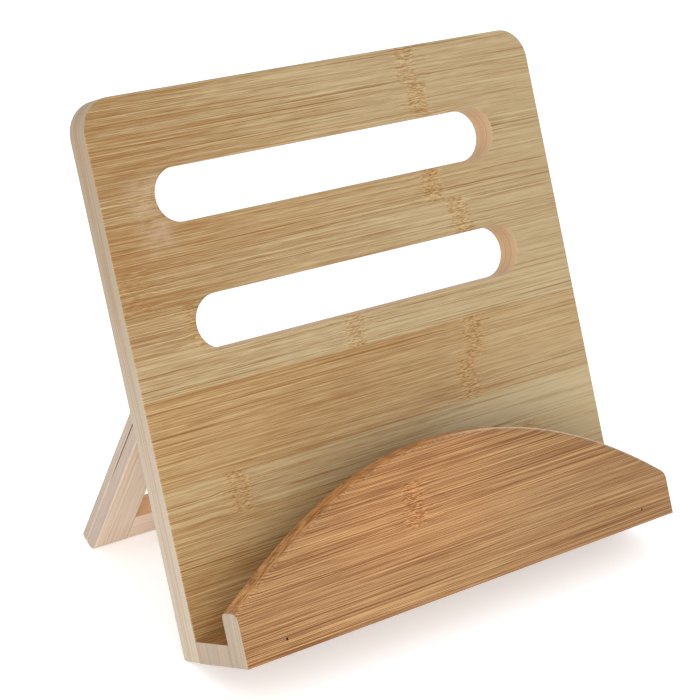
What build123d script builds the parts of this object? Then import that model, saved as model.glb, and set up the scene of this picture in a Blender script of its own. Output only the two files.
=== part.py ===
from build123d import *

import os
from math import asin, atan2, cos, degrees, hypot, radians, sin

# Folding stand of laminated bamboo for a photo album or an open book, in millimetres.
# A slotted board leans back on a frame-shaped leg, which swings out on two butt hinges.
# A ledge and an arched lip along the foot of the board hold the album.

# Board that the album leans on
panel_width = 250.0
panel_height = 243.0
panel_thickness = 12.9
panel_corner_radius = 15.0
panel_edge_round = 0.8
panel_heel_radius = 1.2

# Two hand slots through the board: overall length, place of the middle across and up the board
slot_height = 24.0
upper_slot_length = 191.0
upper_slot_x = -1.7
upper_slot_rise = 197.1
lower_slot_length = 185.0
lower_slot_x = 2.0
lower_slot_rise = 140.2

# Ledge that the album stands on, and the arched lip in front of it
ledge_depth = 26.0
ledge_thickness = 9.6
lip_thickness = 12.0
# Heights of the lip's arch at even steps from its left end to its right end
lip_heights = (23.5, 48.0, 63.7, 68.3, 62.7, 47.0, 21.2)
lip_corner_radius = 4.0
lip_front_round = 3.5
lip_rear_round = 2.5

# Leg frame: two stiles of two plies each, with a rail across the top and one across the foot
leg_open_angle = 50.5
leg_width = 220.0
leg_reach = 110.6
stile_width = 18.0
front_ply = 6.2
rear_ply = 4.2
leg_toe_radius = 3.0
leg_heel_radius = 1.5
leg_arris = 0.4
joint_groove_width = 0.7
bottom_rail_height = 18.5
top_rail_drop = 16.0
stop_clearance = 0.1
slot_land = 3.0
foot_flat = 0.3

# Butt hinges between the board's back and the top rail
hinge_rise = 111.65
hinge_inset = 32.0
hinge_length = 25.0
leaf_width = 12.0
leaf_thickness = 1.0
knuckle_radius = 1.8
middle_knuckle_length = 8.4
knuckle_gap = 0.3
hinge_pin_radius = 0.9
pin_head_radius = 1.4
pin_head_length = 0.6
running_clearance = 0.05

# Fasteners and dowels
fit_clearance = 0.02
hinge_screw_radius = 1.2
hinge_screw_head_radius = 2.1
hinge_screw_length = 8.0
hinge_screw_spacing = 15.0
hinge_screw_drop = 7.5
ledge_screw_radius = 1.75
ledge_screw_head_radius = 3.5
ledge_screw_length = 30.0
ledge_screw_inset = 35.0
ledge_screw_count = 3
cross_recess_width = 0.28
cross_recess_reach = 0.62
cross_recess_depth = 0.35
brad_radius = 0.7
brad_length = 24.0
brad_left_inset = 21.7
brad_right_inset = 19.0
brad_rise = 6.6
brad_set = 0.8
dowel_radius = 2.5
dowel_length = 28.0
dowel_in_stile = 12.0
dowel_edge_distance = 5.0
countersink_angle = 90.0

# The leg's foot sets how far the board leans. Places in the side view are (rise up the board, distance out
# of its front face), and the hinge axis and the leg's own directions are given in that view.
mount_offset = knuckle_radius + knuckle_gap
hinge_out = -panel_thickness - mount_offset
leg_up = (cos(radians(leg_open_angle)), sin(radians(leg_open_angle)))
leg_back = (sin(radians(leg_open_angle)), -cos(radians(leg_open_angle)))
leg_thickness = front_ply + rear_ply


def leg_point(along, behind):
    """A point of the leg in the side view, from its place along the leg and behind the hinge axis."""
    rise = hinge_rise + along * leg_up[0] + behind * leg_back[0]
    out = hinge_out + along * leg_up[1] + behind * leg_back[1]
    return rise, out


# The ground touches the board's rounded heel and the leg's rounded toe, and both are sanded flat on it.
panel_heel_centre = (panel_heel_radius, -panel_thickness + panel_heel_radius)
leg_toe_centre = leg_point(-leg_reach + leg_toe_radius, mount_offset + leg_toe_radius)
stance_rise = leg_toe_centre[0] - panel_heel_centre[0]
stance_out = panel_heel_centre[1] - leg_toe_centre[1]
stance = hypot(stance_rise, stance_out)
lean = atan2(stance_rise, stance_out) - asin((leg_toe_radius - panel_heel_radius) / stance)
base_height = (
    panel_heel_radius
    - foot_flat
    - panel_heel_centre[0] * cos(lean)
    - panel_heel_centre[1] * sin(lean)
)


def depth_of(point):
    """How far back a point of the side view lies from the board's front lower edge."""
    rise, out = point
    return rise * sin(lean) - out * cos(lean)


# The origin is under the middle of the stand's box, so the board's place follows from how far the stand
# reaches to the front and to the rear.
panel_top_centre = (panel_height - panel_edge_round, -panel_thickness + panel_edge_round)
leg_heel_centre = leg_point(
    -leg_reach + leg_heel_radius,
    mount_offset + leg_thickness - leg_heel_radius,
)
front_reach = depth_of((0, ledge_depth + lip_thickness))
rear_reach = max(
    depth_of(panel_top_centre) + panel_edge_round,
    depth_of(leg_heel_centre) + leg_heel_radius,
)
base_place = -(front_reach + rear_reach) / 2

panel_front = Plane(
    origin=(0, base_place, base_height),
    x_dir=(1, 0, 0),
    z_dir=(0, -cos(lean), sin(lean)),
)
panel_back = Plane(
    origin=panel_front.offset(-panel_thickness).origin,
    x_dir=(-1, 0, 0),
    z_dir=-panel_front.z_dir,
)
up_the_panel = Axis(panel_front.origin, panel_front.y_dir)
ledge_front = panel_front.offset(ledge_depth)
lip_front = ledge_front.offset(lip_thickness)
hinge_origin = panel_front.from_local_coords((0, hinge_rise, hinge_out))
leg_plane = Plane(
    origin=hinge_origin,
    x_dir=(1, 0, 0),
    z_dir=panel_front.z_dir * leg_up[0] - panel_front.y_dir * leg_up[1],
)
hinge_plane = Plane(origin=hinge_origin, x_dir=(1, 0, 0), z_dir=panel_front.z_dir)
stop_plane = panel_back.offset(stop_clearance)
leg_top_plane = Plane(
    origin=panel_front.from_local_coords((0, lower_slot_rise - slot_height / 2 - slot_land, 0)),
    x_dir=(1, 0, 0),
    z_dir=-panel_front.y_dir,
)
ground = Plane.XY

half_width = panel_width / 2
half_leg = leg_width / 2
rail_length = leg_width - 2 * stile_width
ledge_screw_spacing = (panel_width - 2 * ledge_screw_inset) / (ledge_screw_count - 1)
ledge_screw_places = [
    (ledge_screw_spacing * (i - (ledge_screw_count - 1) / 2), ledge_thickness / 2)
    for i in range(ledge_screw_count)
]
brad_places = [
    (brad_left_inset - half_width, brad_rise),
    (half_width - brad_right_inset, brad_rise),
]
hinge_places = {"left": hinge_inset - rail_length / 2, "right": rail_length / 2 - hinge_inset}
hinge_screw_places = [
    (middle + side * hinge_screw_spacing / 2, -hinge_screw_drop)
    for middle in hinge_places.values()
    for side in (-1, 1)
]
bottom_dowel_rises = (
    -leg_reach + dowel_edge_distance,
    -leg_reach + bottom_rail_height - dowel_edge_distance,
)
top_dowel_rises = (
    -top_rail_drop + dowel_edge_distance,
    -dowel_edge_distance / 2,
)
dowel_depth = -mount_offset - leg_thickness / 2

# Outward faces that the screws are driven through: the hinge leaves' open sides
panel_leaf_face = Plane(
    origin=hinge_plane.offset(mount_offset - leaf_thickness).origin,
    x_dir=(-1, 0, 0),
    z_dir=-hinge_plane.z_dir,
)
leg_leaf_face = leg_plane.offset(leaf_thickness - mount_offset)


def add_screws(plane, places, shank_radius, head_radius, length):
    """Countersunk wood screws in the open part, heads flush with the plane, with a cross recess each."""
    with Locations(plane):
        with Locations(*places):
            Cylinder(shank_radius, length, align=(Align.CENTER, Align.CENTER, Align.MAX))
            Cone(
                shank_radius,
                head_radius,
                head_radius - shank_radius,
                align=(Align.CENTER, Align.CENTER, Align.MAX),
            )
            for turn in (0, 90):
                Box(
                    2 * head_radius * cross_recess_reach,
                    head_radius * cross_recess_width,
                    head_radius * cross_recess_depth,
                    rotation=(0, 0, turn),
                    align=(Align.CENTER, Align.CENTER, Align.MAX),
                    mode=Mode.SUBTRACT,
                )


def mirrored(places):
    """Places on a plane that looks the other way, whose own x runs to the left."""
    return [(-x, y) for x, y in places]


def save(part, name):
    """Labels a finished piece and writes it."""
    part.label = name
    export_step(part, f"parts/{name}.step")


os.makedirs("parts", exist_ok=True)

# Back panel: one three-ply bamboo board, its foot sawn flat where it meets the table
with BuildPart() as back_panel:
    with BuildSketch(panel_front) as panel_outline:
        with Locations((0, panel_height / 2)):
            Rectangle(panel_width, panel_height)
        fillet(panel_outline.vertices().sort_by(Axis.Y)[-2:], panel_corner_radius)
        with Locations((upper_slot_x, upper_slot_rise)):
            SlotOverall(upper_slot_length, slot_height, mode=Mode.SUBTRACT)
        with Locations((lower_slot_x, lower_slot_rise)):
            SlotOverall(lower_slot_length, slot_height, mode=Mode.SUBTRACT)
    extrude(amount=-panel_thickness)
    board_faces = back_panel.faces().filter_by(panel_front)
    fillet(board_faces.edges().sort_by(up_the_panel)[2:], panel_edge_round)
    fillet(back_panel.edges().sort_by(Axis.Z)[0], panel_heel_radius)
    split(bisect_by=ground, keep=Keep.TOP)
    with Locations(panel_back):
        with Locations(*mirrored(ledge_screw_places)):
            CounterSinkHole(
                ledge_screw_radius + fit_clearance,
                ledge_screw_head_radius + fit_clearance,
                counter_sink_angle=countersink_angle,
            )
        with Locations(*[(-x, hinge_rise + y) for x, y in hinge_screw_places]):
            Hole(hinge_screw_radius + fit_clearance, hinge_screw_length - leaf_thickness)
save(back_panel.part, "back_panel")

# Ledge: a strip glued and screwed to the foot of the board
with BuildPart() as album_ledge:
    with BuildSketch(panel_front):
        with Locations((0, ledge_thickness / 2)):
            Rectangle(panel_width, ledge_thickness)
    extrude(amount=ledge_depth)
    with Locations(Plane(panel_front.origin, x_dir=(-1, 0, 0), z_dir=-panel_front.z_dir)):
        with Locations(*mirrored(ledge_screw_places)):
            Hole(ledge_screw_radius + fit_clearance, ledge_screw_length - panel_thickness)
    with Locations(ledge_front):
        with Locations(*brad_places):
            Hole(brad_radius + fit_clearance, brad_set + brad_length - lip_thickness)
save(album_ledge.part, "album_ledge")

# Lip: an arched board glued and pinned to the ledge, rounded along its arch and at its right shoulder
arch_step = panel_width / (len(lip_heights) - 1)
arch_points = [(step * arch_step - half_width, height) for step, height in enumerate(lip_heights)]
with BuildLine() as lip_line:
    Polyline(arch_points[0], (-half_width, 0), (half_width, 0), arch_points[-1])
    arch = Spline(*arch_points)
above_arch = 1.2 * max(lip_heights)
right_slope = arch % 1
right_run = (above_arch - arch_points[-1][1]) / right_slope.Y

with BuildPart() as front_lip:
    with BuildSketch(ledge_front):
        add(lip_line.line)
        make_face()
    extrude(amount=lip_thickness)
    arches = front_lip.edges().filter_by(GeomType.BSPLINE).sort_by(Axis.Y)
    fillet(arches[0], lip_front_round)
    arches = front_lip.edges().filter_by(GeomType.BSPLINE).sort_by(Axis.Y)
    fillet(arches[-1], lip_rear_round)
    with BuildSketch(ledge_front) as softened:
        with BuildLine():
            Polyline(
                (-half_width - lip_thickness, -lip_thickness),
                (-half_width - lip_thickness, above_arch),
                (half_width + right_slope.X * right_run, above_arch),
                arch_points[-1],
                (half_width, -lip_thickness),
                close=True,
            )
        make_face()
        fillet(softened.vertices().sort_by(Axis.Y)[2], lip_corner_radius)
    extrude(amount=lip_thickness, mode=Mode.INTERSECT)
    with Locations(lip_front):
        with Locations(*brad_places):
            Hole(brad_radius + fit_clearance)
save(front_lip.part, "front_lip")

# Brads: two headless pins set a little under the lip's face
with BuildPart() as lip_brads:
    with Locations(lip_front.offset(-brad_set)):
        with Locations(*brad_places):
            Cylinder(brad_radius, brad_length, align=(Align.CENTER, Align.CENTER, Align.MAX))
save(lip_brads.part, "lip_brads")

# Screws that hold the ledge, driven from behind the board
with BuildPart() as ledge_screws:
    add_screws(
        panel_back,
        mirrored(ledge_screw_places),
        ledge_screw_radius,
        ledge_screw_head_radius,
        ledge_screw_length,
    )
save(ledge_screws.part, "ledge_screws")

# Hinges: a leaf on the board, a leaf on the leg, and the pin through their knuckles
outer_knuckle_length = (hinge_length - middle_knuckle_length) / 2 - knuckle_gap
outer_knuckle_middle = (hinge_length - outer_knuckle_length) / 2


def leaf_plate(inner_side):
    """A hinge leaf's flat plate, hanging down from the axis, on its mounting side of it."""
    with Locations((0, -leaf_width / 2, inner_side * (mount_offset - leaf_thickness / 2))):
        Box(hinge_length, leaf_width, leaf_thickness)


def screw_holes(inner_side):
    """Countersunk holes in a leaf's plate, opening on the side that faces the axis."""
    for across in (-hinge_screw_spacing / 2, hinge_screw_spacing / 2):
        place = (across, -hinge_screw_drop, inner_side * (mount_offset - leaf_thickness))
        with Locations(Location(place, (0, 90 + inner_side * 90, 0))):
            CounterSinkHole(
                hinge_screw_radius + fit_clearance,
                hinge_screw_head_radius + fit_clearance,
                leaf_thickness,
                counter_sink_angle=countersink_angle,
            )


def knuckles(middles, length, inner_side, mode=Mode.ADD, radius=knuckle_radius):
    """Knuckle barrels along the axis at these middles, or the room around them."""
    for middle in middles:
        with Locations((middle, 0, 0)):
            Cylinder(radius, length, rotation=(0, 90, 0), mode=mode)
        if mode == Mode.SUBTRACT:
            with Locations((middle, -radius / 2, inner_side * mount_offset / 2)):
                Box(length, radius, mount_offset, mode=mode)


for side, middle in hinge_places.items():
    panel_leaf_plane = Plane(
        hinge_plane.from_local_coords((middle, 0, 0)), (1, 0, 0), hinge_plane.z_dir
    )
    with BuildPart(panel_leaf_plane) as panel_leaf:
        leaf_plate(1)
        knuckles([0], middle_knuckle_length + 2 * knuckle_gap, 1, Mode.SUBTRACT, mount_offset)
        knuckles([-outer_knuckle_middle, outer_knuckle_middle], outer_knuckle_length, 1)
        Cylinder(
            hinge_pin_radius + fit_clearance,
            hinge_length,
            rotation=(0, 90, 0),
            mode=Mode.SUBTRACT,
        )
        screw_holes(1)
    save(panel_leaf.part, f"hinge_{side}_panel_leaf")

    leg_leaf_plane = Plane(
        leg_plane.from_local_coords((middle, 0, 0)), (1, 0, 0), leg_plane.z_dir
    )
    with BuildPart(leg_leaf_plane) as leg_leaf:
        leaf_plate(-1)
        knuckles(
            [-outer_knuckle_middle, outer_knuckle_middle],
            outer_knuckle_length + 2 * knuckle_gap,
            -1,
            Mode.SUBTRACT,
            mount_offset,
        )
        knuckles([0], middle_knuckle_length, -1)
        Cylinder(
            hinge_pin_radius + running_clearance,
            hinge_length,
            rotation=(0, 90, 0),
            mode=Mode.SUBTRACT,
        )
        screw_holes(-1)
    save(leg_leaf.part, f"hinge_{side}_leg_leaf")

    with BuildPart(panel_leaf_plane) as hinge_pin:
        Cylinder(hinge_pin_radius, hinge_length, rotation=(0, 90, 0))
        with Locations(
            ((hinge_length + pin_head_length) / 2, 0, 0),
            (-(hinge_length + pin_head_length) / 2, 0, 0),
        ):
            Cylinder(pin_head_radius, pin_head_length, rotation=(0, 90, 0))
    save(hinge_pin.part, f"hinge_{side}_pin")

with BuildPart() as panel_hinge_screws:
    add_screws(
        panel_leaf_face,
        mirrored(hinge_screw_places),
        hinge_screw_radius,
        hinge_screw_head_radius,
        hinge_screw_length,
    )
save(panel_hinge_screws.part, "panel_hinge_screws")

with BuildPart() as leg_hinge_screws:
    add_screws(
        leg_leaf_face,
        hinge_screw_places,
        hinge_screw_radius,
        hinge_screw_head_radius,
        hinge_screw_length,
    )
save(leg_hinge_screws.part, "leg_hinge_screws")


def dowel_holes():
    """Bores for all the frame's dowels, through the joints between stiles and rails."""
    for rise in (*bottom_dowel_rises, *top_dowel_rises):
        for side in (-1, 1):
            middle = side * (rail_length / 2 + dowel_in_stile - dowel_length / 2)
            with Locations((middle, rise, dowel_depth)):
                Cylinder(
                    dowel_radius + fit_clearance,
                    dowel_length,
                    rotation=(0, 90, 0),
                    mode=Mode.SUBTRACT,
                )


# Stiles: each is a thick front ply and a thin rear ply glued face to face, eased along every edge. Their
# tops are sawn to the angle at which they come to rest on the board's back.
stile_top = leg_thickness + mount_offset + leg_reach / 4
along_the_leg = Axis(hinge_origin, leg_plane.y_dir)
out_of_the_leg = Axis(hinge_origin, leg_plane.z_dir)


def saw_leg_top():
    """Cuts the open part's top end to the stop angle, and level under the lower slot."""
    split(bisect_by=stop_plane, keep=Keep.TOP)
    split(bisect_by=leg_top_plane, keep=Keep.TOP)


def joint_groove(middle):
    """Cuts the fine V along the plies' joint, on both sides of a stile and across its foot."""
    joint = -mount_offset - front_ply
    for edge in (middle - stile_width / 2, middle + stile_width / 2):
        with Locations((edge, (stile_top - leg_reach) / 2, joint)):
            Box(
                joint_groove_width,
                2 * (stile_top + leg_reach),
                joint_groove_width,
                rotation=(0, 45, 0),
                mode=Mode.SUBTRACT,
            )
    with Locations((middle, -leg_reach, joint)):
        Box(
            2 * stile_width,
            joint_groove_width,
            joint_groove_width,
            rotation=(45, 0, 0),
            mode=Mode.SUBTRACT,
        )


for side, sign in (("left", -1), ("right", 1)):
    stile_middle = sign * (half_leg - stile_width / 2)

    with BuildPart(leg_plane) as stile_front:
        with Locations((stile_middle, (stile_top - leg_reach) / 2, -mount_offset)):
            Box(
                stile_width,
                stile_top + leg_reach,
                front_ply,
                align=(Align.CENTER, Align.CENTER, Align.MAX),
            )
        foot_edges = stile_front.edges().filter_by(Axis.X).sort_by(along_the_leg)[:2]
        fillet(foot_edges.sort_by(out_of_the_leg)[-1], leg_toe_radius)
        long_edges = stile_front.edges().filter_by(along_the_leg).sort_by(out_of_the_leg)
        fillet(long_edges[-2:], leg_arris)
        joint_groove(stile_middle)
        saw_leg_top()
        split(bisect_by=ground, keep=Keep.TOP)
        dowel_holes()
    save(stile_front.part, f"leg_{side}_stile_front_ply")

    with BuildPart(leg_plane) as stile_rear:
        with Locations((stile_middle, (stile_top - leg_reach) / 2, -mount_offset - front_ply)):
            Box(
                stile_width,
                stile_top + leg_reach,
                rear_ply,
                align=(Align.CENTER, Align.CENTER, Align.MAX),
            )
        foot_edges = stile_rear.edges().filter_by(Axis.X).sort_by(along_the_leg)[:2]
        fillet(foot_edges.sort_by(out_of_the_leg)[0], leg_heel_radius)
        long_edges = stile_rear.edges().filter_by(along_the_leg).sort_by(out_of_the_leg)
        fillet(long_edges[:2], leg_arris)
        joint_groove(stile_middle)
        saw_leg_top()
        dowel_holes()
    save(stile_rear.part, f"leg_{side}_stile_rear_ply")

# Rails: solid strips between the stiles
with BuildPart(leg_plane) as leg_bottom_rail:
    with Locations((0, -leg_reach + bottom_rail_height / 2, -mount_offset)):
        Box(
            rail_length,
            bottom_rail_height,
            leg_thickness,
            align=(Align.CENTER, Align.CENTER, Align.MAX),
        )
    foot_edges = leg_bottom_rail.edges().filter_by(Axis.X).sort_by(along_the_leg)[:2]
    fillet(foot_edges.sort_by(out_of_the_leg)[-1], leg_toe_radius)
    foot_edges = leg_bottom_rail.edges().filter_by(Axis.X).sort_by(along_the_leg)[:2]
    fillet(foot_edges.sort_by(out_of_the_leg)[0], leg_heel_radius)
    split(bisect_by=ground, keep=Keep.TOP)
    dowel_holes()
save(leg_bottom_rail.part, "leg_bottom_rail")

with BuildPart(leg_plane) as leg_top_rail:
    with Locations((0, (stile_top - top_rail_drop) / 2, -mount_offset)):
        Box(
            rail_length,
            stile_top + top_rail_drop,
            leg_thickness,
            align=(Align.CENTER, Align.CENTER, Align.MAX),
        )
    saw_leg_top()
    dowel_holes()
    with Locations(*[(x, y, -mount_offset) for x, y in hinge_screw_places]):
        Hole(hinge_screw_radius + fit_clearance, hinge_screw_length - leaf_thickness)
save(leg_top_rail.part, "leg_top_rail")

# Dowels across the frame's joints
for rail, rises in (("bottom", bottom_dowel_rises), ("top", top_dowel_rises)):
    with BuildPart(leg_plane) as dowels:
        for rise in rises:
            for side in (-1, 1):
                middle = side * (rail_length / 2 + dowel_in_stile - dowel_length / 2)
                with Locations((middle, rise, dowel_depth)):
                    Cylinder(dowel_radius, dowel_length, rotation=(0, 90, 0))
    save(dowels.part, f"{rail}_rail_dowels")

print("lean from upright", round(degrees(lean), 2), "degrees")
print("hinge axis at", [round(value, 3) for value in hinge_origin])
print("board's front lower edge at", [round(value, 4) for value in panel_front.origin])
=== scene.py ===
import math

import bpy
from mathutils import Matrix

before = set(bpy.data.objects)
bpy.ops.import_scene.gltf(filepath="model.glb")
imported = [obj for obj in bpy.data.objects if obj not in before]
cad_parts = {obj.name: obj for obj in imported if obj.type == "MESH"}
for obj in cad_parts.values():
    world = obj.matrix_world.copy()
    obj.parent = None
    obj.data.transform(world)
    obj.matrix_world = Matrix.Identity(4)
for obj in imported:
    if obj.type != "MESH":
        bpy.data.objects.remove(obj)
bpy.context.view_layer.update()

# Back board: the slotted board that leans back and carries all the rest. It is laminated bamboo, three plies
# of strips glued edge to edge, cut to its outline, milled through for the two slots and sanded.
board_lean = math.radians(26.13)
board_place = {
    "Origin": (0.0, -0.04253, 0.004975),
    "Up": (0.0, math.sin(board_lean), math.cos(board_lean)),
    "Out": (0.0, -math.cos(board_lean), math.sin(board_lean)),
}
board_strip_width = 18.75
board_ply = 4.3

# The board's strips from its foot up: where two knuckles lie, in millimetres to the right of its middle,
# then the strip's tone and its warmth. A knuckle far outside the board is none.
no_knuckle = 400.0
board_strips = [
    (-60.0, no_knuckle, 0.45, 1.00),
    (70.0, no_knuckle, 0.54, 0.90),
    (81.0, no_knuckle, 0.65, 0.70),
    (-87.0, no_knuckle, 0.67, 0.40),
    (50.0, no_knuckle, 0.57, 0.82),
    (57.0, no_knuckle, 0.56, 0.88),
    (-9.7, no_knuckle, 0.62, 0.15),
    (-89.7, no_knuckle, 0.56, 0.25),
    (-117.5, 64.7, 0.52, 0.40),
    (51.0, no_knuckle, 0.51, 0.55),
    (-100.3, no_knuckle, 0.52, 0.30),
    (53.7, no_knuckle, 0.52, 0.40),
    (49.5, no_knuckle, 0.54, 0.25),
]


def new_group(name, inputs, outputs):
    """An empty node group and its two ends. A label is a plain value, or has its kind after a colon."""
    tree = bpy.data.node_groups.new(name, "ShaderNodeTree")
    for labels, end in ((inputs, "INPUT"), (outputs, "OUTPUT")):
        for label in labels:
            title, _, kind = label.partition(":")
            tree.interface.new_socket(title, in_out=end, socket_type="NodeSocket" + (kind or "Float"))
    return tree, tree.nodes.new("NodeGroupInput").outputs, tree.nodes.new("NodeGroupOutput").inputs


def put(tree, value, socket):
    """Links a socket, or sets a constant, on an input."""
    if isinstance(value, bpy.types.NodeSocket):
        tree.links.new(value, socket)
    else:
        socket.default_value = value


def calc(tree, operation, first, second=0.0, third=0.0):
    """One step of arithmetic."""
    node = tree.nodes.new("ShaderNodeMath")
    node.operation = operation
    for value, socket in zip((first, second, third), node.inputs):
        put(tree, value, socket)
    return node.outputs[0]


def dot(tree, vector, direction):
    """How far a vector runs along a direction."""
    node = tree.nodes.new("ShaderNodeVectorMath")
    node.operation = "DOT_PRODUCT"
    put(tree, vector, node.inputs[0])
    put(tree, direction, node.inputs[1])
    return node.outputs["Value"]


# Directions of the wood: a place and a surface direction of the model, read along the board (or the leg):
# to the right, up its slope and out of its front face, with places in millimetres.
wood_axes, given, result = new_group(
    "wood axes",
    ("Origin:Vector", "Up:Vector", "Out:Vector"),
    ("Along", "Rise", "Depth", "Sideways", "Upward", "Outward"),
)
to_right = (1.0, 0.0, 0.0)
millimetres = 1000.0
coordinates = wood_axes.nodes.new("ShaderNodeTexCoord").outputs
from_origin = wood_axes.nodes.new("ShaderNodeVectorMath")
from_origin.operation = "SUBTRACT"
put(wood_axes, coordinates["Object"], from_origin.inputs[0])
put(wood_axes, given["Origin"], from_origin.inputs[1])
for label, direction in (("Along", to_right), ("Rise", given["Up"]), ("Depth", given["Out"])):
    length = dot(wood_axes, from_origin.outputs[0], direction)
    put(wood_axes, calc(wood_axes, "MULTIPLY", length, millimetres), result[label])
for label, direction in (("Sideways", to_right), ("Upward", given["Up"]), ("Outward", given["Out"])):
    put(wood_axes, dot(wood_axes, coordinates["Normal"], direction), result[label])


def times(tree, first, *others):
    """Multiplies values or masks."""
    for value in others:
        first = calc(tree, "MULTIPLY", first, value)
    return first


def plus(tree, start, *shares):
    """Adds shares of other values to a first one. Each is a value and its share."""
    for value, share in shares:
        start = calc(tree, "MULTIPLY_ADD", value, share, start)
    return start


def ease(tree, value, low, high, start=0.0, end=1.0):
    """Maps a value smoothly from one range to another."""
    node = tree.nodes.new("ShaderNodeMapRange")
    node.interpolation_type = "SMOOTHSTEP"
    for amount, socket in zip((value, low, high, start, end), node.inputs):
        put(tree, amount, socket)
    return node.outputs[0]


def point(tree, x, y, z):
    """Joins three values into a place."""
    node = tree.nodes.new("ShaderNodeCombineXYZ")
    for value, socket in zip((x, y, z), node.inputs):
        put(tree, value, socket)
    return node.outputs[0]


def noise(tree, place, detail=2.0, roughness=0.6):
    """Noise at a place that already has its own stretch."""
    node = tree.nodes.new("ShaderNodeTexNoise")
    put(tree, place, node.inputs["Vector"])
    node.inputs["Scale"].default_value = 1.0
    node.inputs["Detail"].default_value = detail
    node.inputs["Roughness"].default_value = roughness
    return node.outputs[0]


# Fibres of bamboo: long streaks in three widths, short dashes, and sparse thin bundles, some dark and some
# pale. Each has its changes to the millimetre along and across the cane. Index keeps neighbouring strips
# apart, so that no streak crosses a glue line.
bamboo_fibre, given, result = new_group(
    "bamboo fibre",
    ("Along", "Across", "Index", "Seed"),
    ("Broad", "Middle", "Fine", "Dash", "Bundle", "Pale"),
)
strip_shift, width_shift = 13.7, 7.0
bundle_start, bundle_full = 0.62, 0.67
lane = plus(bamboo_fibre, given["Seed"], (given["Index"], strip_shift))
for label, run, width, detail in (
    ("Broad", 0.006, 0.28, 2.0),
    ("Middle", 0.018, 1.45, 2.0),
    ("Fine", 0.045, 2.7, 2.0),
    ("Dash", 0.11, 1.25, 2.0),
    ("Bundle", 0.011, 1.9, 1.0),
    ("Pale", 0.014, 2.1, 1.0),
):
    spot = point(
        bamboo_fibre,
        plus(bamboo_fibre, lane, (given["Along"], run)),
        times(bamboo_fibre, given["Across"], width),
        calc(bamboo_fibre, "ADD", lane, width_shift * width),
    )
    streak = noise(bamboo_fibre, spot, detail)
    if label in ("Bundle", "Pale"):
        streak = ease(bamboo_fibre, streak, bundle_start, bundle_full)
    put(bamboo_fibre, streak, result[label])

# Knuckle of a bamboo cane: a ragged band across one strip, where the fibres break up into pale and dark
# dashes, with the grain bent on both sides of it. Widths and reaches are in millimetres, rates in changes to
# the millimetre.
bamboo_knuckle, given, result = new_group(
    "bamboo knuckle", ("Along", "Across", "Place", "Seed"), ("Mask", "Speck", "Bend")
)
seed_spread, speck_shift, bend_shift = 3.1, 4.0, 9.0
sway_rate, sway_width = 0.22, 9.0
speck_run, speck_rate, ragged_width = 0.42, 1.9, 7.0
band_end, band_full = 7.5, 4.0
bend_run, bend_rate = 0.09, 0.35
bend_end, bend_full = 32.0, 2.0
sway_spot = point(
    bamboo_knuckle,
    times(bamboo_knuckle, given["Seed"], seed_spread),
    times(bamboo_knuckle, given["Across"], sway_rate),
    given["Seed"],
)
sway = plus(bamboo_knuckle, -sway_width / 2, (noise(bamboo_knuckle, sway_spot), sway_width))
offset = calc(bamboo_knuckle, "SUBTRACT", given["Along"], given["Place"])
swayed = calc(bamboo_knuckle, "ABSOLUTE", calc(bamboo_knuckle, "ADD", offset, sway))
speck_spot = point(
    bamboo_knuckle,
    times(bamboo_knuckle, given["Along"], speck_run),
    times(bamboo_knuckle, given["Across"], speck_rate),
    calc(bamboo_knuckle, "ADD", given["Seed"], speck_shift),
)
speck = noise(bamboo_knuckle, speck_spot, roughness=0.55)
ragged = calc(bamboo_knuckle, "ADD", swayed, ragged_width / 2)
ragged = plus(bamboo_knuckle, ragged, (speck, -ragged_width))
put(bamboo_knuckle, ease(bamboo_knuckle, ragged, band_end, band_full), result["Mask"])
put(bamboo_knuckle, calc(bamboo_knuckle, "SUBTRACT", speck, 0.5), result["Speck"])
near = ease(bamboo_knuckle, calc(bamboo_knuckle, "ABSOLUTE", offset), bend_end, bend_full)
bend_spot = point(
    bamboo_knuckle,
    times(bamboo_knuckle, given["Along"], bend_run),
    times(bamboo_knuckle, given["Across"], bend_rate),
    calc(bamboo_knuckle, "ADD", given["Seed"], bend_shift),
)
bend = calc(bamboo_knuckle, "SUBTRACT", noise(bamboo_knuckle, bend_spot), 0.5)
put(bamboo_knuckle, times(bamboo_knuckle, bend, near), result["Bend"])


def use(tree, group, **values):
    """Places a group in a tree with these inputs, named with underscores, and returns its outputs."""
    node = tree.nodes.new("ShaderNodeGroup")
    node.node_tree = group
    for label, value in values.items():
        put(tree, value, node.inputs[label.replace("_", " ")])
    return node.outputs


def blend(tree, share, first, second, kind="MIX"):
    """Mixes two colours."""
    node = tree.nodes.new("ShaderNodeMix")
    node.data_type = "RGBA"
    node.blend_type = kind
    put(tree, share, node.inputs[0])
    put(tree, first, node.inputs[6])
    put(tree, second, node.inputs[7])
    return node.outputs[2]


# Face of a laminated bamboo board: strips glued edge to edge, each with its own tone, its fibres and up to
# two knuckles. Colour is the wood's, and Height is for its relief.
bamboo_face, given, result = new_group(
    "bamboo face",
    (
        "Along",
        "Across",
        "Strip width",
        "Seed",
        "Knuckle one",
        "Knuckle two",
        "Knuckle depth",
        "Tone",
        "Warmth",
        "Contrast",
        "Grain run",
        "Grain width",
        "Light wood:Color",
        "Dark wood:Color",
        "Warm wood:Color",
    ),
    ("Colour:Color", "Height"),
)
strip_seed = 2.3
bend_width = 2.2
joint_full, joint_end = 0.05, 0.45
fine_share, middle_share, dash_share = 0.5, 0.8, 0.5
dark_bundle, pale_bundle = -0.48, 0.3
knuckle_dashes, knuckle_shade, joint_shade = 2.6, -0.03, -0.12
darkest, palest = -0.1, 1.1
patch_warmth, knuckle_warmth, bundle_warmth, most_warmth = 0.7, 0.5, 0.45, 0.85
strips = calc(bamboo_face, "DIVIDE", given["Across"], given["Strip width"])
index = calc(bamboo_face, "FLOOR", strips)
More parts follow.
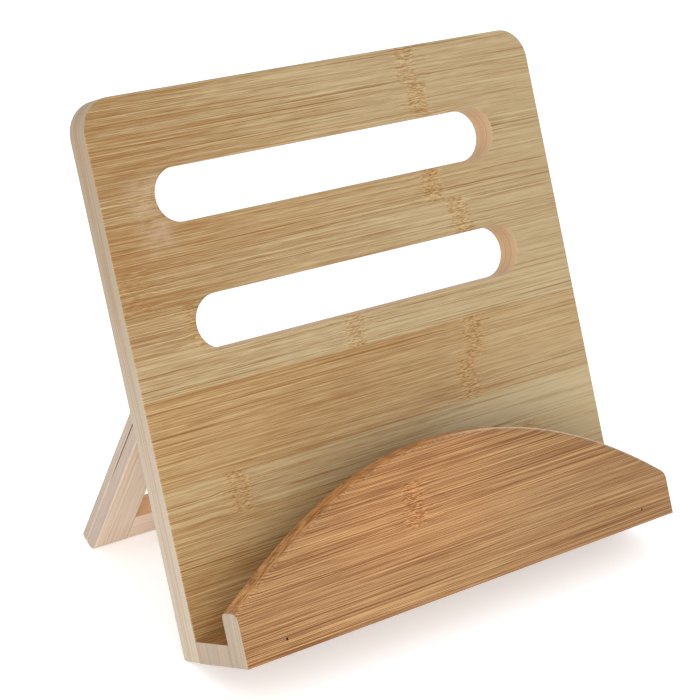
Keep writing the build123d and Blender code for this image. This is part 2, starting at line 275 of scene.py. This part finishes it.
from_joint = calc(bamboo_face, "PINGPONG", calc(bamboo_face, "FRACT", strips), 0.5)
from_joint = times(bamboo_face, from_joint, given["Strip width"])
joint = ease(bamboo_face, from_joint, joint_full, joint_end, 1.0, 0.0)
marks = []
for number, label in enumerate(("Knuckle one", "Knuckle two")):
    seed = plus(bamboo_face, calc(bamboo_face, "ADD", given["Seed"], number), (index, strip_seed))
    marks.append(
        use(
            bamboo_face,
            bamboo_knuckle,
            Along=given["Along"],
            Across=given["Across"],
            Place=given[label],
            Seed=seed,
        )
    )
bend = calc(bamboo_face, "ADD", marks[0]["Bend"], marks[1]["Bend"])
bent = plus(bamboo_face, given["Across"], (bend, bend_width))
fibre = use(
    bamboo_face,
    bamboo_fibre,
    Along=times(bamboo_face, given["Along"], given["Grain run"]),
    Across=calc(bamboo_face, "DIVIDE", bent, given["Grain width"]),
    Index=index,
    Seed=given["Seed"],
)
knuckle = calc(bamboo_face, "MAXIMUM", marks[0]["Mask"], marks[1]["Mask"])
knuckle = times(bamboo_face, knuckle, given["Knuckle depth"])
dashes = times(bamboo_face, marks[0]["Speck"], knuckle)
streak = plus(
    bamboo_face,
    -(fine_share + middle_share + dash_share) / 2,
    (fibre["Fine"], fine_share),
    (fibre["Middle"], middle_share),
    (fibre["Dash"], dash_share),
    (fibre["Bundle"], dark_bundle),
    (fibre["Pale"], pale_bundle),
)
shade = plus(
    bamboo_face,
    calc(bamboo_face, "ADD", given["Tone"], 0.5),
    (streak, given["Contrast"]),
    (dashes, knuckle_dashes),
    (knuckle, knuckle_shade),
    (joint, joint_shade),
)
shade = ease(bamboo_face, shade, darkest, palest)
wood = blend(bamboo_face, shade, given["Dark wood"], given["Light wood"])
patch = calc(bamboo_face, "SUBTRACT", fibre["Broad"], 0.5)
warm = plus(
    bamboo_face,
    given["Warmth"],
    (patch, patch_warmth),
    (knuckle, knuckle_warmth),
    (fibre["Bundle"], bundle_warmth),
)
warm = ease(bamboo_face, warm, 0.0, 1.0, 0.0, most_warmth)
put(bamboo_face, blend(bamboo_face, warm, wood, given["Warm wood"], "MULTIPLY"), result["Colour"])
height = times(bamboo_face, fibre["Middle"], 0.4)
height = plus(bamboo_face, height, (fibre["Fine"], 0.6), (dashes, 1.5), (joint, -0.5))
put(bamboo_face, height, result["Height"])


def paint(red, green, blue):
    """A picture colour from 0 to 255 as the linear colour that shaders take."""
    channels = []
    for value in (red, green, blue):
        share = value / 255
        channels.append(share / 12.92 if share <= 0.04045 else ((share + 0.055) / 1.055) ** 2.4)
    return (*channels, 1.0)


# Sawn edge of a three-ply board: pale plies, the outer two with the dots of cut fibres and the core with
# fine streaks along the edge, and a thin brown glue line between them.
ply_edge, given, result = new_group(
    "ply edge",
    ("Run", "Depth", "Ply", "Seed", "Outer wood:Color", "Core wood:Color"),
    ("Colour:Color",),
)
glue_full, glue_end, glue_share = 0.05, 0.35, 0.35
glue_brown = paint(150, 112, 82)
dot_run, dot_rate = 1.3, 1.7
dot_dark, dot_light = (0.72, 0.7, 0.68, 1), (1.2, 1.2, 1.2, 1)
streak_dark, streak_light = (0.7, 0.62, 0.56, 1), (1.22, 1.22, 1.22, 1)
plies = calc(ply_edge, "DIVIDE", times(ply_edge, given["Depth"], -1.0), given["Ply"])
layer = calc(ply_edge, "FLOOR", plies)
core = calc(ply_edge, "COMPARE", layer, 1.0, 0.1)
from_glue = times(ply_edge, calc(ply_edge, "PINGPONG", plies, 0.5), given["Ply"])
glue = ease(ply_edge, from_glue, glue_full, glue_end, glue_share, 0.0)
fibre = use(
    ply_edge,
    bamboo_fibre,
    Along=given["Run"],
    Across=given["Depth"],
    Index=layer,
    Seed=given["Seed"],
)
dot_spot = point(
    ply_edge,
    times(ply_edge, given["Run"], dot_run),
    times(ply_edge, given["Depth"], dot_rate),
    given["Seed"],
)
dots = plus(ply_edge, 0.05, (noise(ply_edge, dot_spot, roughness=0.7), 0.9))
streak = plus(ply_edge, -0.62, (fibre["Fine"], 0.8), (fibre["Middle"], 1.44))
outer = blend(ply_edge, dots, dot_dark, dot_light)
outer = blend(ply_edge, 1.0, given["Outer wood"], outer, "MULTIPLY")
inner = blend(ply_edge, streak, streak_dark, streak_light)
inner = blend(ply_edge, 1.0, given["Core wood"], inner, "MULTIPLY")
wood = blend(ply_edge, core, outer, inner)
put(ply_edge, blend(ply_edge, glue, wood, glue_brown), result["Colour"])


def new_material(name):
    """An empty node material, its tree and its shader."""
    material = bpy.data.materials.new(name)
    material.use_nodes = True
    tree = material.node_tree
    return material, tree, tree.nodes["Principled BSDF"]


def strip_table(tree, height, strip_width, rows):
    """Four values for each strip of a board, from its foot up: two knuckle places, tone and warmth."""
    count = len(rows)
    middle, span = 125.0, 250.0  # a board's half width and width, in millimetres
    ramp = tree.nodes.new("ShaderNodeValToRGB")
    ramp.color_ramp.interpolation = "CONSTANT"
    steps = ramp.color_ramp.elements
    while len(steps) < count:
        steps.new(1.0)
    for number, (one, two, tone, warmth) in enumerate(rows):
        steps[number].position = number / count
        steps[number].color = ((one + middle) / span, (two + middle) / span, tone, warmth)
    put(tree, calc(tree, "DIVIDE", height, strip_width * count), ramp.inputs[0])
    split = tree.nodes.new("ShaderNodeSeparateColor")
    put(tree, ramp.outputs["Color"], split.inputs[0])
    one = plus(tree, -middle, (split.outputs[0], span))
    two = plus(tree, -middle, (split.outputs[1], span))
    return one, two, calc(tree, "SUBTRACT", split.outputs[2], 0.5), ramp.outputs["Alpha"]


def away(tree, value, place):
    """How far a value is from a place, on either side."""
    return calc(tree, "ABSOLUTE", calc(tree, "SUBTRACT", value, place))


def relief(tree, height, shader, strength, distance):
    """Gives a shader a fine relief from a height."""
    node = tree.nodes.new("ShaderNodeBump")
    node.inputs["Strength"].default_value = strength
    node.inputs["Distance"].default_value = distance
    put(tree, height, node.inputs["Height"])
    put(tree, node.outputs[0], shader.inputs["Normal"])


def sanded(tree, shader, colour, height, hollow, crest):
    """Sanded wood: its colour, a fine relief, and a roughness for hollows and one for raised fibres."""
    put(tree, colour, shader.inputs["Base Color"])
    put(tree, ease(tree, height, 0.2, 0.8, hollow, crest), shader.inputs["Roughness"])
    shader.inputs["Specular IOR Level"].default_value = 0.3
    relief(tree, height, shader, strength=0.3, distance=0.0001)


def coat(node_name, material):
    """Gives a CAD node this material."""
    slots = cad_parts[node_name].data.materials
    slots.clear()
    slots.append(material)


# The board's face carries painted light: it is painted paler, greyer and flatter towards its right as a
# painted sheen, paler low on its right as painted light against the lip's shade, darker low in its middle as
# the lip's painted shadow, and darker high on its left as painted shade against the card's light, where its
# knuckles are also fainter.
# The back shows the same strips from behind, so its grain runs the other way.
board, tree, shader = new_material("bamboo_board")
place = use(tree, wood_axes, **board_place)
one, two, tone, warmth = strip_table(tree, place["Rise"], board_strip_width, board_strips)
# Painted sheen towards the right, painted light low on the right, the lip's painted shadow low in the middle
# and painted shade high on the left.
right_sheen_tone, low_right_painted_light_tone, lip_painted_shadow_tone, high_left_painted_shade_tone = 0.0005, 0.16, -0.1, -0.18
right_sheen_warmth, right_sheen_contrast = -0.0024, -0.0024
low_right_painted_light = times(
    tree,
    ease(tree, place["Along"], 0.0, 50.0),
    ease(tree, place["Rise"], 80.0, 68.0),
)
lip_painted_shadow = times(
    tree,
    ease(tree, away(tree, place["Along"], -5.0), 100.0, 20.0),
    ease(tree, place["Rise"], 114.0, 111.0),
)
high_left = times(
    tree,
    ease(tree, place["Along"], -10.0, -120.0),
    ease(tree, place["Rise"], 100.0, 170.0),
)
tone = plus(
    tree,
    tone,
    (place["Along"], right_sheen_tone),
    (low_right_painted_light, low_right_painted_light_tone),
    (lip_painted_shadow, lip_painted_shadow_tone),
    (high_left, high_left_painted_shade_tone),
)
front_or_back = ease(tree, place["Outward"], -0.1, 0.1, -1.0, 1.0)
face = use(
    tree,
    bamboo_face,
    Along=times(tree, place["Along"], front_or_back),
    Across=place["Rise"],
    Strip_width=board_strip_width,
    Seed=3.0,
    Knuckle_one=one,
    Knuckle_two=two,
    Knuckle_depth=plus(tree, 0.9, (high_left, -0.65)),
    Tone=tone,
    Warmth=plus(tree, calc(tree, "SUBTRACT", warmth, 0.14), (place["Along"], right_sheen_warmth)),
    Contrast=plus(tree, 1.25, (place["Along"], right_sheen_contrast)),
    Grain_run=0.75,
    Grain_width=0.9,
    Light_wood=paint(194, 175, 136),
    Dark_wood=paint(140, 102, 53),
    Warm_wood=(1.0, 0.84, 0.65, 1),
)

# The sawn sides and top are painted greyer and darker at the top and paler at the foot, as painted shade and
# painted light, and the walls of the slots are warmer.
edge = use(
    tree,
    ply_edge,
    Run=calc(tree, "ADD", place["Along"], place["Rise"]),
    Depth=place["Depth"],
    Ply=board_ply,
    Seed=11.0,
    Outer_wood=paint(200, 180, 157),
    Core_wood=paint(197, 175, 152),
)
top_painted_shade_tint, foot_painted_light_tint, slot_tint = (0.67, 0.65, 0.59, 1), (0.95, 1.02, 1.08, 1), (1.0, 0.87, 0.68, 1)
on_edge = ease(tree, calc(tree, "ABSOLUTE", place["Outward"]), 0.8, 0.55)
in_slot = times(
    tree,
    ease(tree, calc(tree, "ABSOLUTE", place["Along"]), 108.0, 104.0),
    ease(tree, place["Rise"], 226.0, 222.0),
)
# Painted shade at the top of the sawn edges and painted light at their foot.
edge_painted_light_and_slot_tint = blend(tree, ease(tree, place["Rise"], 230.0, 20.0), top_painted_shade_tint, foot_painted_light_tint)
edge_painted_light_and_slot_tint = blend(tree, in_slot, edge_painted_light_and_slot_tint, slot_tint)
edge_wood = blend(tree, 1.0, edge["Colour"], edge_painted_light_and_slot_tint, "MULTIPLY")

# The front is rubbed pale beside the left end of the upper slot.
slot_end, least_rub, most_rub = -101.0, 0.05, 0.34
rubbed_wood = paint(200, 182, 156)
rub_spot = point(tree, times(tree, place["Along"], 0.09), times(tree, place["Rise"], 0.14), 2.0)
rubbed = times(
    tree,
    ease(tree, away(tree, place["Along"], slot_end), 15.0, 3.0),
    ease(tree, place["Rise"], 168.0, 182.0),
    ease(tree, place["Rise"], 214.0, 202.0),
    ease(tree, place["Outward"], 0.5, 0.9),
    ease(tree, noise(tree, rub_spot, detail=3.0), 0.35, 0.65, least_rub, most_rub),
)
wood = blend(tree, rubbed, face["Colour"], rubbed_wood)
sanded(tree, shader, blend(tree, on_edge, wood, edge_wood), face["Height"], hollow=0.6, crest=0.46)
coat("back_panel", board)

# Ledge and lip: a strip screwed square to the board's foot, and an arched lip glued and nailed to its front.
# Both are bamboo steamed to a redder brown, with close streaks, a sawn rim on the arch and pale end grain.
lip_strip_width = 19.9
lip_foot = -6.2
lip_knuckle = -24.5
lip_strips = [
    (no_knuckle, no_knuckle, 0.50, 0.55),
    (no_knuckle, no_knuckle, 0.52, 0.50),
    (lip_knuckle, no_knuckle, 0.50, 0.55),
    (no_knuckle, no_knuckle, 0.48, 0.60),
]
# The ledge's strips are painted darker and redder than the lip's, as the painted shade of the trough between
# the board and the lip.
ledge_strips_painted_shade = [(no_knuckle, no_knuckle, 0.42, 0.90)] * 4
single_ply = 40.0
lip_seam = 26.0
end_pale = paint(177, 160, 141)
seam_brown, seam_share = paint(140, 112, 86), 0.6
end_dark, end_light = (0.8, 0.77, 0.74, 1), (1.14, 1.14, 1.14, 1)
rim_shade, rim_share = (0.82, 0.78, 0.74, 1), 0.75
rim_dark, rim_light = paint(126, 84, 46), paint(204, 148, 92)
chip_dark, chip_light, chip_share = paint(112, 74, 42), paint(206, 172, 128), 0.22
# Colour and share of the painted highlight along the crest.
crest_highlight, crest_highlight_share = paint(232, 204, 168), 0.6
flush_tint, flush_share = (1.1, 0.97, 0.9, 1), 0.7
for name, node_name, rows, seed, arched in (
    ("bamboo_lip", "front_lip", lip_strips, 21.0, 1.0),
    ("bamboo_ledge", "album_ledge", ledge_strips_painted_shade, 37.0, 0.0),
):
    brown, tree, shader = new_material(name)
    place = use(tree, wood_axes, **board_place)
    level = calc(tree, "SUBTRACT", place["Rise"], lip_foot)
    one, two, tone, warmth = strip_table(tree, level, lip_strip_width, rows)
    from_knuckle = away(tree, place["Along"], lip_knuckle)
    tone = calc(tree, "ADD", tone, ease(tree, from_knuckle, 110.0, 20.0, -0.16, -0.02 * arched))
    face = use(
        tree,
        bamboo_face,
        Along=place["Along"],
        Across=plus(tree, level, (place["Depth"], 0.9 * (1.0 - arched))),
        Strip_width=lip_strip_width,
        Seed=seed,
        Knuckle_one=one,
        Knuckle_two=two,
        Knuckle_depth=0.9,
        Tone=tone,
        Warmth=plus(tree, warmth, (place["Along"], -0.001)),
        Contrast=plus(tree, 2.4, (place["Along"], -0.006)),
        Grain_run=0.35,
        Grain_width=0.46,
        Light_wood=paint(200, 167, 119),
        Dark_wood=paint(116, 73, 34),
        Warm_wood=(1.04, 0.84, 0.68, 1),
    )
    # The arch cuts through the fibres, so its rim is darker and streaky.
    facing = calc(tree, "ABSOLUTE", place["Outward"])
    rim_spot = point(
        tree,
        times(tree, place["Along"], 0.16),
        times(tree, place["Rise"], 0.16),
        times(tree, place["Depth"], 1.1),
    )
    cut = ease(tree, noise(tree, rim_spot, detail=3.0, roughness=0.65), 0.36, 0.62)
    rim = blend(tree, 1.0, face["Colour"], rim_shade, "MULTIPLY")
    rim = blend(tree, rim_share, rim, blend(tree, cut, rim_dark, rim_light))
    wood = blend(tree, ease(tree, facing, 0.25, 0.65, arched, 0.0), face["Colour"], rim)
    # Its edges are chipped and worn, and a painted highlight runs along the crest on the right.
    worn_spot = point(tree, times(tree, place["Along"], 0.7), place["Rise"], 0.0)
    worn = noise(tree, worn_spot, detail=3.0)
    chipped = blend(tree, ease(tree, worn, 0.42, 0.58), chip_dark, chip_light)
    arris = times(tree, ease(tree, facing, 0.4, 0.6), ease(tree, facing, 0.92, 0.72), chip_share)
    wood = blend(tree, arris, wood, chipped)
    # Painted highlight along the crest of the arch, on its right only.
    crest = times(
        tree,
        ease(tree, facing, 0.1, 0.3),
        ease(tree, facing, 0.75, 0.5),
        ease(tree, place["Along"], -20.0, 20.0, 0.0, crest_highlight_share * arched),
        ease(tree, worn, 0.3, 0.5, 0.5, 1.0),
    )
    wood = blend(tree, crest, wood, crest_highlight)
    # The face is redder round its knuckle.
    flush = ease(tree, from_knuckle, 75.0, 15.0, 0.0, flush_share * arched)
    flush = times(tree, flush, ease(tree, place["Rise"], 6.0, 28.0))
    wood = blend(tree, flush, wood, flush_tint, "MULTIPLY")
    # The ends are pale end grain, with the glued seam between ledge and lip.
    end = use(
        tree,
        ply_edge,
        Run=place["Rise"],
        Depth=place["Depth"],
        Ply=single_ply,
        Seed=seed,
        Outer_wood=end_pale,
        Core_wood=end_pale,
    )
    fibre = use(tree, bamboo_fibre, Along=place["Rise"], Across=place["Depth"], Index=0.0, Seed=seed)
    end_shade = plus(tree, 0.0, (fibre["Broad"], 0.5), (fibre["Middle"], 0.9))
    end_tint = blend(tree, ease(tree, end_shade, 0.45, 0.95), end_dark, end_light)
    end_wood = blend(tree, 1.0, end["Colour"], end_tint, "MULTIPLY")
    seam = ease(tree, away(tree, place["Depth"], lip_seam), 0.12, 0.5, seam_share, 0.0)
    end_wood = blend(tree, seam, end_wood, seam_brown)
    on_end = ease(tree, calc(tree, "ABSOLUTE", place["Sideways"]), 0.86, 0.95)
    wood = blend(tree, on_end, wood, end_wood)
    sanded(tree, shader, wood, face["Height"], hollow=0.58, crest=0.44)
    coat(node_name, brown)

# Leg frame: two stiles, each of two plies glued face to face, and two rails set between them on dowels. It
# is pale, pinkish bamboo, with painted light on its front faces and painted shade on its sides. The rails
# keep a brown skin on top, and the plies part a little high up, where the crack between them is painted near
# black as its shade.
leg_open = math.radians(50.5)
leg_lean = board_lean - leg_open
leg_place = {
    "Origin": (0.0, 0.020109, 0.098608),
    "Up": (0.0, math.sin(leg_lean), math.cos(leg_lean)),
    "Out": (0.0, -math.cos(leg_lean), math.sin(leg_lean)),
}
leg_outer_side = 109.0
ply_joint = -8.3
# Colour and share of the painted shade in the crack between the plies.
crack_shade_dark, crack_shade_share = paint(58, 38, 26), 0.95
side_painted_shade_tint = (0.84, 0.87, 0.91, 1)
stile_plies = [f"leg_{side}_stile_{ply}_ply" for side in ("left", "right") for ply in ("front", "rear")]
# Wood tones; the front entry is painted light that brightens the faces that look forward.
stile_tones_and_painted_light = {
    "light": paint(211, 191, 172),
    "dark": paint(182, 155, 133),
    "front": (1.44, 1.52, 1.58, 1),
    "top": (1.0, 1.0, 1.0, 1),
}
rail_tones_and_painted_light = {
    "light": paint(228, 208, 190),
    "dark": paint(206, 179, 156),
    "front": (1.3, 1.33, 1.36, 1),
    "top": (1.11, 0.82, 0.54, 1),
}
for name, node_names, run, width, seed, tones_and_painted_light in (
    ("bamboo_stile", stile_plies, "Rise", "Along", 51.0, stile_tones_and_painted_light),
    ("bamboo_rail", ("leg_bottom_rail", "leg_top_rail"), "Along", "Rise", 67.0, rail_tones_and_painted_light),
):
    pale, tree, shader = new_material(name)
    place = use(tree, wood_axes, **leg_place)
    face = use(
        tree,
        bamboo_face,
        Along=place[run],
        Across=calc(tree, "ADD", place["Depth"], place[width]),
        Strip_width=36.0,
        Seed=seed,
        Knuckle_one=no_knuckle,
        Knuckle_two=no_knuckle,
        Knuckle_depth=0.0,
        Tone=0.05,
        Warmth=0.15,
        Contrast=0.9,
        Grain_run=1.0,
        Grain_width=1.0,
        Light_wood=tones_and_painted_light["light"],
        Dark_wood=tones_and_painted_light["dark"],
        Warm_wood=(1.0, 0.9, 0.82, 1),
    )
    # Painted shade on the side faces and painted light on the front faces.
    on_side = ease(tree, calc(tree, "ABSOLUTE", place["Sideways"]), 0.5, 0.85)
    wood = blend(tree, on_side, face["Colour"], side_painted_shade_tint, "MULTIPLY")
    wood = blend(tree, ease(tree, place["Outward"], 0.2, 0.8), wood, tones_and_painted_light["front"], "MULTIPLY")
    wood = blend(tree, ease(tree, place["Upward"], 0.5, 0.8), wood, tones_and_painted_light["top"], "MULTIPLY")
    # Painted shade in the crack between the plies, high up on the outer side.
    crack_shade = times(
        tree,
        ease(tree, away(tree, place["Depth"], ply_joint), 0.14, 0.5, crack_shade_share, 0.0),
        ease(tree, calc(tree, "ABSOLUTE", place["Along"]), leg_outer_side, leg_outer_side + 0.5),
        ease(tree, place["Rise"], -76.0, -48.0, 0.15, 1.0),
    )
    wood = blend(tree, crack_shade, wood, crack_shade_dark)
    sanded(tree, shader, wood, face["Height"], hollow=0.62, crest=0.48)
    for node_name in node_names:
        coat(node_name, pale)

# Dowels of the leg: short turned pins of plain wood, glued into bores in the stiles and the rails' ends.
# They are hidden in the finished leg.
dowel_dark, dowel_light = paint(176, 140, 98), paint(216, 184, 140)
dowel, tree, shader = new_material("dowel_wood")
place = use(tree, wood_axes, **leg_place)
fibre = use(tree, bamboo_fibre, Along=place["Along"], Across=place["Rise"], Index=0.0, Seed=80.0)
put(tree, blend(tree, fibre["Middle"], dowel_dark, dowel_light), shader.inputs["Base Color"])
shader.inputs["Roughness"].default_value = 0.7
relief(tree, fibre["Fine"], shader, strength=0.2, distance=0.0003)
for node_name in ("bottom_rail_dowels", "top_rail_dowels"):
    coat(node_name, dowel)

# Hinges: two small butt hinges of plated brass, each with a leaf on the board, a leaf on the leg and a pin.
# The leaves are stamped and rolled, with a fine grain along their length and a little tarnish.
brass_dark, brass_light = paint(196, 158, 88), paint(224, 190, 120)
tarnish, tarnish_share = paint(150, 112, 60), 0.5
brass, tree, shader = new_material("hinge_brass")
place = use(tree, wood_axes, **leg_place)
grain_spot = point(
    tree,
    times(tree, place["Along"], 0.15),
    times(tree, place["Rise"], 6.0),
    times(tree, place["Depth"], 6.0),
)
grain = noise(tree, grain_spot, detail=3.0)
stain_spot = point(tree, *(times(tree, place[label], 0.12) for label in ("Along", "Rise", "Depth")))
stain = ease(tree, noise(tree, stain_spot, detail=4.0), 0.45, 0.7, 0.0, tarnish_share)
metal = blend(tree, stain, blend(tree, grain, brass_dark, brass_light), tarnish)
put(tree, metal, shader.inputs["Base Color"])
shader.inputs["Metallic"].default_value = 1.0
put(tree, ease(tree, grain, 0.2, 0.8, 0.28, 0.42), shader.inputs["Roughness"])
relief(tree, grain, shader, strength=0.12, distance=0.0002)
for side in ("left", "right"):
    for piece in ("panel_leaf", "leg_leaf", "pin"):
        coat(f"hinge_{side}_{piece}", brass)

# Screws and brads: countersunk screws of zinc-grey steel for the ledge and the hinges, driven flush, and two
# brads of dark iron, set a little below the lip's face.
screw_nodes = ("ledge_screws", "panel_hinge_screws", "leg_hinge_screws")
for name, node_names, dark, light in (
    ("screw_steel", screw_nodes, paint(150, 148, 142), paint(196, 194, 188)),
    ("brad_steel", ("lip_brads",), paint(30, 22, 18), paint(58, 44, 36)),
):
    steel, tree, shader = new_material(name)
    place = use(tree, wood_axes, **board_place)
    wear_spot = point(
        tree,
        times(tree, place["Along"], 1.6),
        times(tree, place["Rise"], 1.6),
        times(tree, place["Depth"], 0.8),
    )
    wear = noise(tree, wear_spot, detail=3.0)
    put(tree, blend(tree, wear, dark, light), shader.inputs["Base Color"])
    shader.inputs["Metallic"].default_value = 1.0
    put(tree, ease(tree, wear, 0.2, 0.8, 0.3, 0.5), shader.inputs["Roughness"])
    relief(tree, wear, shader, strength=0.1, distance=0.0002)
    for node_name in node_names:
        coat(node_name, steel)

# Floor: a plain sheet of pale paper that runs past the picture on every side. Straight on and in reflections
# it looks whiter than the light that it gives back to the stand.
floor_width, floor_glow = 12.0, 0.4
bpy.ops.mesh.primitive_plane_add(size=floor_width, location=(0.0, 0.0, 0.0))
floor = bpy.context.object
floor.name = "floor"
paper, tree, shader = new_material("floor_paper")
rays = tree.nodes.new("ShaderNodeLightPath").outputs
seen = calc(tree, "MAXIMUM", rays["Is Camera Ray"], rays["Is Glossy Ray"])
seen = calc(tree, "MAXIMUM", seen, rays["Is Transmission Ray"])
shader.inputs["Base Color"].default_value = (0.88, 0.88, 0.88, 1)
shader.inputs["Emission Color"].default_value = (1.0, 1.0, 1.0, 1)
put(tree, times(tree, seen, floor_glow), shader.inputs["Emission Strength"])
shader.inputs["Roughness"].default_value = 0.9
shader.inputs["Specular IOR Level"].default_value = 0.1
floor.data.materials.append(paper)

# Light: a white, even room, with a large soft window above and in front of the stand, a little to its
# right, and a low white card in front of it, to its left.
world = bpy.data.worlds.new("studio")
bpy.context.scene.world = world
world.use_nodes = True
sky = world.node_tree.nodes["Background"]
sky.inputs["Color"].default_value = (1.0, 1.0, 1.0, 1)
sky.inputs["Strength"].default_value = 0.94


def hold(name, data, location, turns):
    """Puts a light or a camera in the scene, turned by degrees about X, Y and Z."""
    holder = bpy.data.objects.new(name, data)
    holder.location = location
    holder.rotation_euler = [math.radians(turn) for turn in turns]
    bpy.context.collection.objects.link(holder)
    return holder


window = bpy.data.lights.new("window", "AREA")
window.shape = "DISK"
window.size = 1.6
window.energy = 1.0
hold("window", window, location=(0.5, -1.5, 1.6), turns=(44.6, 0.0, 18.4))
card = bpy.data.lights.new("card", "AREA")
card.shape = "RECTANGLE"
card.size, card.size_y = 0.9, 0.6
card.energy = 6.5
hold("card", card, location=(-0.9, -0.8, 0.32), turns=(78.0, 0.0, -47.0))

# Camera: in front of the stand, to its left and a little above, turned slightly as the photograph is. Its
# place and lens were fitted to the corners of the board, the slots, the lip and the leg.
lens = bpy.data.cameras.new("camera")
lens.sensor_width = 36.0
lens.lens = 108.95
camera_place, camera_turns = (-0.568727, -0.654949, 0.518201), (64.4189, -4.139, -37.9619)
camera = hold("camera", lens, location=camera_place, turns=camera_turns)
bpy.context.scene.camera = camera
bpy.context.scene.view_settings.view_transform = "Standard"
